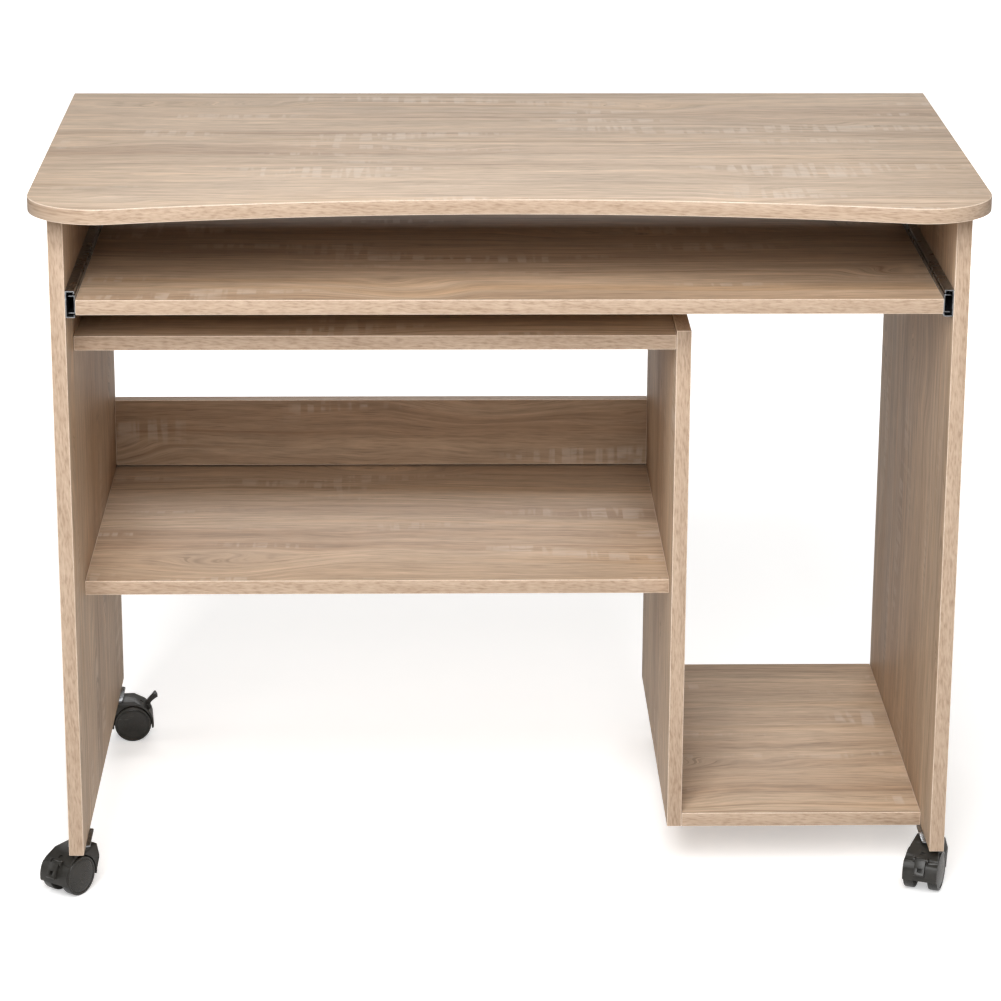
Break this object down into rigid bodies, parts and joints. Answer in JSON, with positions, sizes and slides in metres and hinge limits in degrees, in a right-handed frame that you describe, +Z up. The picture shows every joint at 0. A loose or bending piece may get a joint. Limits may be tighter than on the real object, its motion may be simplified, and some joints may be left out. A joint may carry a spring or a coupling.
{
  "type": "computer desk with keyboard tray",
  "caption": "Light oak laminate computer desk on braked castors, with a scooped front edge, a pull-out keyboard tray on ball slides, printer shelf and tower bay.",
  "frame": {"origin": "on the floor, under the middle of the desktop", "axes": "+Z up, the desk's front faces -Y, +X to the right of someone looking at the front"},
  "size_m": [0.9666, 0.55, 0.745],
  "materials": {
    "sonoma_oak": "matt melamine laminate with a light rough-sawn oak print",
    "zinc_steel": "zinc-plated pressed sheet, satin",
    "screw_steel": "bright zinc-plated",
    "hood_plastic": "moulded charcoal nylon, fine texture",
    "wheel_plastic": "moulded charcoal nylon, smooth disc"
  },
  "bodies": {
    "desk_frame": {"desktop": "sonoma_oak", "side_panel_left": "sonoma_oak", "side_panel_right": "sonoma_oak", "divider_panel": "sonoma_oak", "fixed_shelf": "sonoma_oak", "lower_shelf": "sonoma_oak", "tower_shelf": "sonoma_oak", "back_rail": "sonoma_oak", "slide_cabinet_left": "zinc_steel", "panel_screw_left_front": "screw_steel", "panel_screw_left_rear": "screw_steel", "slide_cabinet_right": "zinc_steel", "panel_screw_right_front": "screw_steel", "panel_screw_right_rear": "screw_steel", "castor_plate_front_left": "zinc_steel", "castor_stem_front_left": "zinc_steel", "castor_screw_front_left_1": "screw_steel", "castor_screw_front_left_2": "screw_steel", "castor_plate_front_right": "zinc_steel", "castor_stem_front_right": "zinc_steel", "castor_screw_front_right_1": "screw_steel", "castor_screw_front_right_2": "screw_steel", "castor_plate_rear_left": "zinc_steel", "castor_stem_rear_left": "zinc_steel", "castor_screw_rear_left_1": "screw_steel", "castor_screw_rear_left_2": "screw_steel", "castor_plate_rear_right": "zinc_steel", "castor_stem_rear_right": "zinc_steel", "castor_screw_rear_right_1": "screw_steel", "castor_screw_rear_right_2": "screw_steel"},
    "tray": {"keyboard_tray": "sonoma_oak", "slide_drawer_left": "zinc_steel", "tray_screw_left_front": "screw_steel", "tray_screw_left_rear": "screw_steel", "slide_drawer_right": "zinc_steel", "tray_screw_right_front": "screw_steel", "tray_screw_right_rear": "screw_steel"},
    "cage_left": {"ball_cage_left": "zinc_steel"},
    "cage_right": {"ball_cage_right": "zinc_steel"},
    "castor_front_left": {"castor_hood_front_left": "hood_plastic", "castor_axle_front_left": "zinc_steel"},
    "wheel_front_left_a": {"castor_wheel_front_left_a": "wheel_plastic"},
    "wheel_front_left_b": {"castor_wheel_front_left_b": "wheel_plastic"},
    "brake_front_left": {"brake_lever_front_left": "hood_plastic"},
    "castor_front_right": {"castor_hood_front_right": "hood_plastic", "castor_axle_front_right": "zinc_steel"},
    "wheel_front_right_a": {"castor_wheel_front_right_a": "wheel_plastic"},
    "wheel_front_right_b": {"castor_wheel_front_right_b": "wheel_plastic"},
    "brake_front_right": {"brake_lever_front_right": "hood_plastic"},
    "castor_rear_left": {"castor_hood_rear_left": "hood_plastic", "castor_axle_rear_left": "zinc_steel"},
    "wheel_rear_left_a": {"castor_wheel_rear_left_a": "wheel_plastic"},
    "wheel_rear_left_b": {"castor_wheel_rear_left_b": "wheel_plastic"},
    "brake_rear_left": {"brake_lever_rear_left": "hood_plastic"},
    "castor_rear_right": {"castor_hood_rear_right": "hood_plastic", "castor_axle_rear_right": "zinc_steel"},
    "wheel_rear_right_a": {"castor_wheel_rear_right_a": "wheel_plastic"},
    "wheel_rear_right_b": {"castor_wheel_rear_right_b": "wheel_plastic"},
    "brake_rear_right": {"brake_lever_rear_right": "hood_plastic"}
  },
  "joints": [
    {"name": "keyboard_tray_slide", "type": "slide", "parent": "desk_frame", "child": "tray", "axis": [0, -1, 0], "range_m": [0, 0.25]},
    {"name": "cage_slide_left", "type": "slide", "parent": "desk_frame", "child": "cage_left", "axis": [0, -1, 0], "range_m": [0, 0.125]},
    {"name": "cage_slide_right", "type": "slide", "parent": "desk_frame", "child": "cage_right", "axis": [0, -1, 0], "range_m": [0, 0.125]},
    {"name": "swivel_front_left", "type": "hinge", "parent": "desk_frame", "child": "castor_front_left", "pos_m": [-0.4425, -0.177, 0.04], "axis": [0, 0, 1], "continuous": true},
    {"name": "spin_front_left_a", "type": "hinge", "parent": "castor_front_left", "child": "wheel_front_left_a", "pos_m": [-0.45455, -0.19359, 0.021], "axis": [-0.809, 0.5878, 0], "continuous": true},
    {"name": "spin_front_left_b", "type": "hinge", "parent": "castor_front_left", "child": "wheel_front_left_b", "pos_m": [-0.45455, -0.19359, 0.021], "axis": [-0.809, 0.5878, 0], "continuous": true},
    {"name": "brake_front_left", "type": "hinge", "parent": "castor_front_left", "child": "brake_front_left", "pos_m": [-0.46521, -0.20826, 0.03791], "axis": [-0.809, 0.5878, 0], "range_deg": [0, 110]},
    {"name": "swivel_front_right", "type": "hinge", "parent": "desk_frame", "child": "castor_front_right", "pos_m": [0.4425, -0.177, 0.04], "axis": [0, 0, 1], "continuous": true},
    {"name": "spin_front_right_a", "type": "hinge", "parent": "castor_front_right", "child": "wheel_front_right_a", "pos_m": [0.43515, -0.19614, 0.021], "axis": [-0.9336, 0.3584, 0], "continuous": true},
    {"name": "spin_front_right_b", "type": "hinge", "parent": "castor_front_right", "child": "wheel_front_right_b", "pos_m": [0.43515, -0.19614, 0.021], "axis": [-0.9336, 0.3584, 0], "continuous": true},
    {"name": "brake_front_right", "type": "hinge", "parent": "castor_front_right", "child": "brake_front_right", "pos_m": [0.42865, -0.21307, 0.03791], "axis": [-0.9336, 0.3584, 0], "range_deg": [0, 110]},
    {"name": "swivel_rear_left", "type": "hinge", "parent": "desk_frame", "child": "castor_rear_left", "pos_m": [-0.4425, 0.227, 0.04], "axis": [0, 0, 1], "continuous": true},
    {"name": "spin_rear_left_a", "type": "hinge", "parent": "castor_rear_left", "child": "wheel_rear_left_a", "pos_m": [-0.42211, 0.22914, 0.021], "axis": [0.1045, -0.9945, 0], "continuous": true},
    {"name": "spin_rear_left_b", "type": "hinge", "parent": "castor_rear_left", "child": "wheel_rear_left_b", "pos_m": [-0.42211, 0.22914, 0.021], "axis": [0.1045, -0.9945, 0], "continuous": true},
    {"name": "brake_rear_left", "type": "hinge", "parent": "castor_rear_left", "child": "brake_rear_left", "pos_m": [-0.40407, 0.23104, 0.03791], "axis": [0.1045, -0.9945, 0], "range_deg": [-110, 0]},
    {"name": "swivel_rear_right", "type": "hinge", "parent": "desk_frame", "child": "castor_rear_right", "pos_m": [0.4425, 0.227, 0.04], "axis": [0, 0, 1], "continuous": true},
    {"name": "spin_rear_right_a", "type": "hinge", "parent": "castor_rear_right", "child": "wheel_rear_right_a", "pos_m": [0.45455, 0.21041, 0.021], "axis": [-0.809, -0.5878, 0], "continuous": true},
    {"name": "spin_rear_right_b", "type": "hinge", "parent": "castor_rear_right", "child": "wheel_rear_right_b", "pos_m": [0.45455, 0.21041, 0.021], "axis": [-0.809, -0.5878, 0], "continuous": true},
    {"name": "brake_rear_right", "type": "hinge", "parent": "castor_rear_right", "child": "brake_rear_right", "pos_m": [0.46521, 0.19574, 0.03791], "axis": [-0.809, -0.5878, 0], "range_deg": [-110, 0]}
  ],
  "couplings": [
    {"joint": "cage_slide_left", "follows": "keyboard_tray_slide", "ratio": 0.5},
    {"joint": "cage_slide_right", "follows": "keyboard_tray_slide", "ratio": 0.5}
  ]
}
